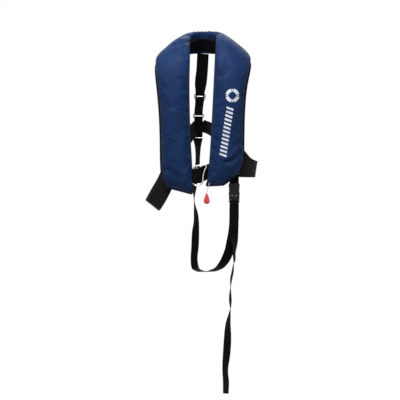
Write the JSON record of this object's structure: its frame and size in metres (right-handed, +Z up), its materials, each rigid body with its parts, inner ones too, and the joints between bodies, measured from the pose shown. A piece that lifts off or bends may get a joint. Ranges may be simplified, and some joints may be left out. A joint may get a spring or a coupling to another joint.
{
  "type": "inflatable life jacket",
  "caption": "Worn horseshoe inflatable life jacket: padded cover over both shoulders, waist belt with wire ring buckle, crotch strap with side-release buckle and pull handle.",
  "frame": {"origin": "on the back pad's flat face, which rests on the wearer's back", "axes": "+Z up along the jacket as worn, -Y out of the chest, +X towards the wearer's left"},
  "size_m": [0.3814, 0.3038, 1.242],
  "materials": {
    "navy_fabric": "plain-woven coated navy nylon",
    "black_fabric": "black lining fabric and tape",
    "yellow_fabric": "coated yellow bladder fabric",
    "webbing": "black woven webbing",
    "steel": "polished stainless steel",
    "cylinder_zinc": "zinc plated steel",
    "black_plastic": "moulded black acetal",
    "yellow_plastic": "moulded yellow plastic",
    "green_plastic": "moulded green plastic",
    "red_plastic": "glossy translucent red plastic",
    "white_cord": "thin braided cord",
    "reflective": "retroreflective patch"
  },
  "bodies": {
    "root": {"cover": "navy_fabric", "lining_panel": "black_fabric", "edge_binding": "black_fabric", "bladder": "yellow_fabric", "reflective_patch_right": "reflective", "reflective_patch_left": "reflective", "back_tab": "webbing", "back_slider": "steel", "back_loop": "steel", "loop_tab": "webbing", "back_pad": "webbing", "crotch_keeper": "steel", "waist_belt_right": "webbing", "waist_belt_left": "webbing", "front_belt_right": "webbing", "front_belt_left": "webbing", "buckle_bar": "steel", "crotch_strap_rear": "webbing", "crotch_short_strap": "webbing", "crotch_buckle_socket": "black_plastic", "inflator_body": "black_plastic", "lever_pin": "steel", "service_clip": "green_plastic", "flange_nut": "cylinder_zinc", "oral_tube": "black_plastic", "lifting_loop": "webbing"},
    "buckle_ring": {"buckle_ring": "steel"},
    "crotch_front": {"crotch_buckle_plug": "black_plastic", "crotch_strap_front": "webbing"},
    "crotch_tail": {"crotch_tail": "webbing"},
    "gas_cylinder": {"gas_cylinder": "cylinder_zinc"},
    "sensor_cap": {"sensor_cap": "yellow_plastic"},
    "pull_lever": {"pull_lever": "black_plastic"},
    "piercing_pin": {"piercing_pin": "steel"},
    "pull_cord": {"pull_cord": "white_cord"},
    "pull_toggle": {"pull_toggle": "red_plastic"},
    "oral_valve": {"oral_valve": "red_plastic"},
    "oral_cap": {"oral_cap": "black_plastic"},
    "whistle": {"whistle": "yellow_plastic", "whistle_cord": "white_cord"}
  },
  "joints": [
    {"name": "cord_pull", "type": "slide", "parent": "root", "child": "pull_cord", "axis": [-0.2724, 0, -0.9622], "range_m": [0, 0.025]},
    {"name": "toggle_swing", "type": "hinge", "parent": "pull_cord", "child": "pull_toggle", "pos_m": [0.0125, -0.247, -0.23], "axis": [0, 1, 0], "range_deg": [-60, 60]},
    {"name": "lever_turn", "type": "hinge", "parent": "root", "child": "pull_lever", "pos_m": [0.054, -0.247, -0.1645], "axis": [0, -1, 0], "range_deg": [0, 61]},
    {"name": "pin_strike", "type": "slide", "parent": "root", "child": "piercing_pin", "axis": [0, 0, 1], "range_m": [0, 0.0051]},
    {"name": "cylinder_unscrew", "type": "hinge", "parent": "root", "child": "gas_cylinder", "pos_m": [0.054, -0.247, -0.08], "axis": [0, 0, 1], "continuous": true},
    {"name": "sensor_cap_turn", "type": "hinge", "parent": "root", "child": "sensor_cap", "pos_m": [0.078, -0.247, -0.167], "axis": [0, 0, 1], "continuous": true},
    {"name": "ring_swing", "type": "hinge", "parent": "root", "child": "buckle_ring", "pos_m": [-0.0325, -0.226, -0.173], "axis": [0, 0, -1], "range_deg": [0, 40]},
    {"name": "crotch_unclip", "type": "slide", "parent": "root", "child": "crotch_front", "axis": [0, 0, -1], "range_m": [0, 0.045]},
    {"name": "tail_swing", "type": "hinge", "parent": "crotch_front", "child": "crotch_tail", "pos_m": [0.106, -0.2415, -0.267], "axis": [0, 1, 0], "range_deg": [-25, 25]},
    {"name": "oral_cap_off", "type": "slide", "parent": "root", "child": "oral_cap", "axis": [0, 0, 1], "range_m": [0, 0.03]},
    {"name": "oral_valve_press", "type": "slide", "parent": "root", "child": "oral_valve", "axis": [0, 0, -1], "range_m": [0, 0.004]},
    {"name": "whistle_swing", "type": "hinge", "parent": "root", "child": "whistle", "pos_m": [-0.0886, -0.248, -0.04], "axis": [0, 1, 0], "range_deg": [-6, 8]}
  ],
  "couplings": [
    {"joint": "lever_turn", "follows": "cord_pull", "rad_per_m": 42},
    {"joint": "pin_strike", "follows": "cord_pull", "ratio": 0.2}
  ]
}
